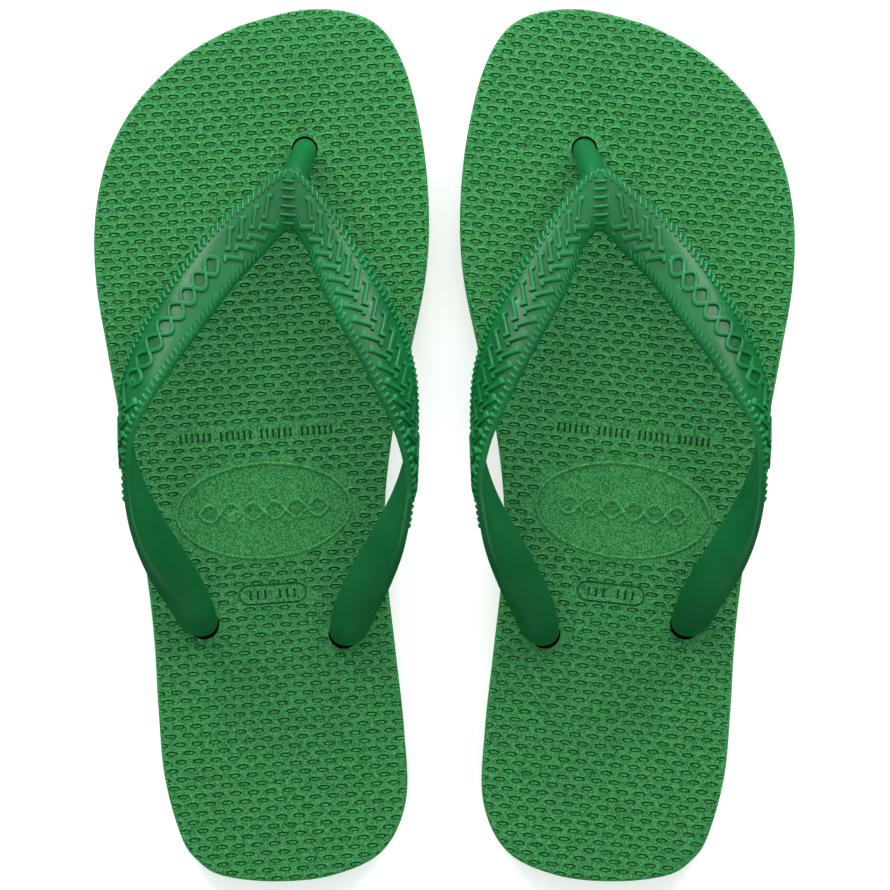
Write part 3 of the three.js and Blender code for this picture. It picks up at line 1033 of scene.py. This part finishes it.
def ramp(tree, source, stops):
    """Colour by value: stops are (value, colour)."""
    node = tree.nodes.new("ShaderNodeValToRGB")
    elements = node.color_ramp.elements
    while len(elements) < len(stops):
        elements.new(0.5)
    for element, (position, colour) in zip(elements, stops):
        element.position = position
        element.color = (*colour, 1)
    tree.links.new(source, node.inputs["Fac"])
    return node.outputs["Color"]


def bump(tree, shader, heights, distance):
    """Bumps of several noises, one after another, each with its strength."""
    normal = None
    for source, strength in heights:
        node = tree.nodes.new("ShaderNodeBump")
        node.inputs["Strength"].default_value = strength
        node.inputs["Distance"].default_value = distance
        tree.links.new(source, node.inputs["Height"])
        if normal is not None:
            tree.links.new(normal, node.inputs["Normal"])
        normal = node.outputs["Normal"]
    tree.links.new(normal, shader.inputs["Normal"])


def painted_edge_highlight_and_shade(tree, colour, stops):
    """The colour times a grey that follows how sharply the surface turns: below 0.5 in a groove, above on a
    ridge. The grey paints a highlight on ridges and a shade in grooves."""
    geometry = tree.nodes.new("ShaderNodeNewGeometry")
    # Painted light: the grey darkens grooves as painted shade and lightens ridges as a painted highlight.
    tone = ramp(tree, geometry.outputs["Pointiness"], [(at, (grey, grey, grey)) for at, grey in stops])
    mix = tree.nodes.new("ShaderNodeVectorMath")
    mix.operation = "MULTIPLY"
    tree.links.new(colour, mix.inputs[0])
    tree.links.new(tone, mix.inputs[1])
    return mix.outputs["Vector"]


def value_between(tree, source, low, high):
    """A value that runs from low to high as the source goes from 0 to 1."""
    node = tree.nodes.new("ShaderNodeMapRange")
    node.inputs["To Min"].default_value = low
    node.inputs["To Max"].default_value = high
    tree.links.new(source, node.inputs["Value"])
    return node.outputs["Result"]


# %% Foam rubber
# Each stop is a pointiness and the grey that goes with it: painted shade in grooves, painted highlight on
# ridges.
FOAM_EDGE_HIGHLIGHT_AND_SHADE = [(0.42, 0.35), (0.48, 1.0), (0.525, 1.0), (0.62, 1.75)]
STRAP_EDGE_HIGHLIGHT_AND_SHADE = [(0.42, 0.6), (0.49, 1.0), (0.515, 1.0), (0.61, 1.8)]
STRAP_DARK = (0.004, 0.088, 0.023)
STRAP_LIGHT = (0.006, 0.112, 0.031)


def foam_rubber(name, dark, light, grain_strength):
    """Mottled colour, uneven roughness, and two sizes of pits."""
    material, tree, shader, place = new_material(name, 0.8)
    mottle = ramp(tree, noise(tree, place, 2300, detail=1), [(0.36, dark), (0.64, light)])
    # The foam's mottle gets a painted highlight on its ridges and a painted shade in its grooves.
    tree.links.new(painted_edge_highlight_and_shade(tree, mottle, FOAM_EDGE_HIGHLIGHT_AND_SHADE), shader.inputs["Base Color"])
    shader.inputs["Specular IOR Level"].default_value = 0.2
    tree.links.new(value_between(tree, noise(tree, place, 90), 0.72, 0.88), shader.inputs["Roughness"])
    bump(tree, shader, [(noise(tree, place, 1500, detail=4, roughness=0.7), grain_strength),
                        (noise(tree, place, 260, detail=2), 0.25 * grain_strength)], 0.0004)
    return material


def strap_rubber():
    """Even colour with a faint cloudiness, a satin skin and a little light going through the edges."""
    material, tree, shader, place = new_material("strap_rubber", 0.4)
    shader.inputs["Specular IOR Level"].default_value = 0.14
    dyed = ramp(tree, noise(tree, place, 45, detail=2), [(0.35, STRAP_DARK), (0.65, STRAP_LIGHT)])
    # The strap's colour gets a painted highlight on its ribs and a painted shade in the grooves between them.
    tree.links.new(painted_edge_highlight_and_shade(tree, dyed, STRAP_EDGE_HIGHLIGHT_AND_SHADE), shader.inputs["Base Color"])
    tree.links.new(value_between(tree, noise(tree, place, 380), 0.24, 0.34), shader.inputs["Roughness"])
    shader.inputs["Subsurface Weight"].default_value = 0.12
    shader.inputs["Subsurface Radius"].default_value = (0.3, 1.0, 0.45)
    shader.inputs["Subsurface Scale"].default_value = 0.0015
    bump(tree, shader, [(noise(tree, place, 900, detail=2), 0.06)], 0.0003)
    return material


MATERIALS = {
    "footbed": foam_rubber("footbed_foam", (0.007, 0.106, 0.018), (0.053, 0.295, 0.093), 0.8),
    "outsole": foam_rubber("outsole_foam", (0.008, 0.12, 0.02), (0.03, 0.22, 0.055), 0.5),
    "strap": strap_rubber(),
}
for pieces, finish in ((footbeds, "footbed"), (outsoles, "outsole"), (straps, "strap")):
    for piece in pieces.values():
        piece.data.materials.clear()
        piece.data.materials.append(MATERIALS[finish])
